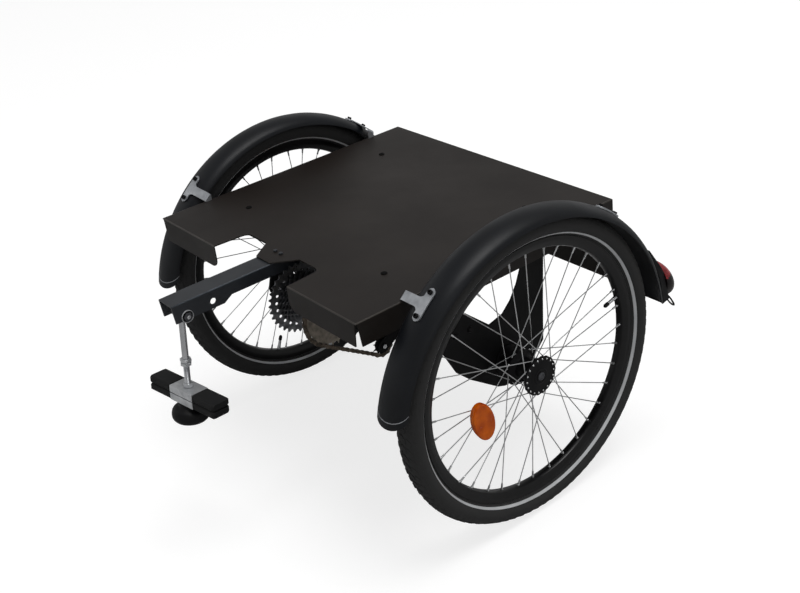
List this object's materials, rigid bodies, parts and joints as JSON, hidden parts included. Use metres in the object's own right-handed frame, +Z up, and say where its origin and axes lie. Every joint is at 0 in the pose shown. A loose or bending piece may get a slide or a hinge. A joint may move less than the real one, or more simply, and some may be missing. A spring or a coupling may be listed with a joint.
{
  "type": "bicycle platform trailer",
  "caption": "Bicycle trailer with a flat dark deck, spoked wheels under mudguards, a tow arm with a swinging clamp, and a geared chain drive below.",
  "frame": {"origin": "on the floor under the middle of the whole, with the deck level", "axes": "+Z up, -Y towards the tow arm, +X to the right side of the trailer seen from behind, with the axle along X"},
  "size_m": [0.836, 0.9304, 0.6175],
  "materials": {
    "deck_paint": "semi-gloss dark brown-black powder coat",
    "arm_paint": "semi-gloss bluish black paint",
    "plate_paint": "satin dark grey paint",
    "guard_plastic": "semi-gloss black plastic",
    "tyre_rubber": "matt black tread",
    "sleeve_rubber": "matt black moulded rubber",
    "black_metal": "satin black anodised or painted",
    "bright_steel": "bright plated steel",
    "zinc_plate": "zinc-plated steel",
    "aluminium": "satin silver",
    "sprocket_steel": "light brown-grey plated steel",
    "chain_steel": "oiled dark steel",
    "amber_plastic": "clear amber",
    "red_lens": "dark red translucent",
    "knob_plastic": "fine-textured black"
  },
  "bodies": {
    "trailer_frame": {"deck": "deck_paint", "tow_arm": "arm_paint", "pivot_bolt": "zinc_plate", "cage_pivot": "black_metal", "chain": "chain_steel", "left_side_plate": "plate_paint", "left_bearing_housing": "black_metal", "left_mudguard": "guard_plastic", "left_front_bracket": "aluminium", "left_rear_bracket": "aluminium", "left_light_base": "black_metal", "left_rear_light": "red_lens", "left_hanger": "plate_paint", "left_jack_bearing": "bright_steel", "right_side_plate": "plate_paint", "right_bearing_housing": "black_metal", "right_mudguard": "guard_plastic", "right_front_bracket": "aluminium", "right_rear_bracket": "aluminium", "right_light_base": "black_metal", "right_rear_light": "red_lens", "right_hanger": "plate_paint", "right_jack_bearing": "bright_steel"},
    "drive_axle": {"axle": "bright_steel", "driven_sprocket": "sprocket_steel", "right_hub": "black_metal", "right_inner_spokes": "bright_steel", "right_outer_spokes": "bright_steel", "right_rim": "black_metal", "right_tyre": "tyre_rubber", "right_valve": "black_metal", "right_reflector": "amber_plastic"},
    "left_wheel": {"left_hub": "black_metal", "left_inner_spokes": "bright_steel", "left_outer_spokes": "bright_steel", "left_rim": "black_metal", "left_tyre": "tyre_rubber", "left_valve": "black_metal", "left_reflector": "amber_plastic"},
    "jack_assembly": {"jackshaft": "bright_steel", "freehub": "black_metal", "output_sprocket": "sprocket_steel"},
    "cog_stack": {"cassette": "bright_steel"},
    "tensioner": {"inner_cage_plate": "black_metal", "outer_cage_plate": "black_metal", "tension_pin": "bright_steel"},
    "upper_pulley": {"guide_pulley": "knob_plastic"},
    "lower_pulley": {"tension_pulley": "knob_plastic"},
    "hanging_rod": {"eye_rod": "bright_steel", "threaded_rod": "zinc_plate", "rod_nuts": "zinc_plate", "plate_nut": "zinc_plate"},
    "upper_jaw": {"top_jaw": "zinc_plate", "top_left_sleeve": "sleeve_rubber", "top_right_sleeve": "sleeve_rubber"},
    "lower_jaw": {"bottom_jaw": "zinc_plate", "bottom_left_sleeve": "sleeve_rubber", "bottom_right_sleeve": "sleeve_rubber"},
    "clamp_knob": {"knob": "knob_plastic"}
  },
  "joints": [
    {"name": "right_wheel_spin", "type": "hinge", "parent": "trailer_frame", "child": "drive_axle", "pos_m": [0, 0.06556, 0.303], "axis": [1, 0, 0], "continuous": true, "deforming": ["chain"]},
    {"name": "left_wheel_spin", "type": "hinge", "parent": "trailer_frame", "child": "left_wheel", "pos_m": [0, 0.06556, 0.303], "axis": [1, 0, 0], "continuous": true},
    {"name": "jackshaft_spin", "type": "hinge", "parent": "trailer_frame", "child": "jack_assembly", "pos_m": [0, -0.17794, 0.436], "axis": [1, 0, 0], "continuous": true},
    {"name": "cassette_freewheel", "type": "hinge", "parent": "jack_assembly", "child": "cog_stack", "pos_m": [0, -0.17794, 0.436], "axis": [1, 0, 0], "continuous": true},
    {"name": "tensioner_swing", "type": "hinge", "parent": "trailer_frame", "child": "tensioner", "pos_m": [0, -0.03094, 0.353], "axis": [1, 0, 0], "range_deg": [-5, 10], "stiffness_Nm_per_rad": 1.2, "deforming": ["chain"]},
    {"name": "upper_pulley_spin", "type": "hinge", "parent": "trailer_frame", "child": "upper_pulley", "pos_m": [0, -0.03094, 0.353], "axis": [1, 0, 0], "continuous": true},
    {"name": "lower_pulley_spin", "type": "hinge", "parent": "tensioner", "child": "lower_pulley", "pos_m": [0, -0.07937, 0.32489], "axis": [1, 0, 0], "continuous": true},
    {"name": "rod_swing", "type": "hinge", "parent": "trailer_frame", "child": "hanging_rod", "pos_m": [0, -0.40644, 0.492], "axis": [1, 0, 0], "range_deg": [-75, 40]},
    {"name": "clamp_swivel", "type": "hinge", "parent": "hanging_rod", "child": "upper_jaw", "pos_m": [0, -0.42408, 0.34405], "axis": [0, -0.1184, -0.993], "continuous": true},
    {"name": "jaw_opening", "type": "slide", "parent": "upper_jaw", "child": "lower_jaw", "axis": [0, -0.1184, -0.993], "range_m": [0, 0.021]},
    {"name": "knob_turn", "type": "hinge", "parent": "lower_jaw", "child": "clamp_knob", "pos_m": [0, -0.42835, 0.3083], "axis": [0, -0.1184, -0.993], "range_deg": [0, 4320]}
  ],
  "couplings": [
    {"joint": "jackshaft_spin", "follows": "right_wheel_spin", "ratio": 0.73333},
    {"joint": "upper_pulley_spin", "follows": "right_wheel_spin", "ratio": -2.2},
    {"joint": "lower_pulley_spin", "follows": "right_wheel_spin", "ratio": 2.2},
    {"joint": "jaw_opening", "follows": "knob_turn", "m_per_rad": 0.00027852}
  ]
}
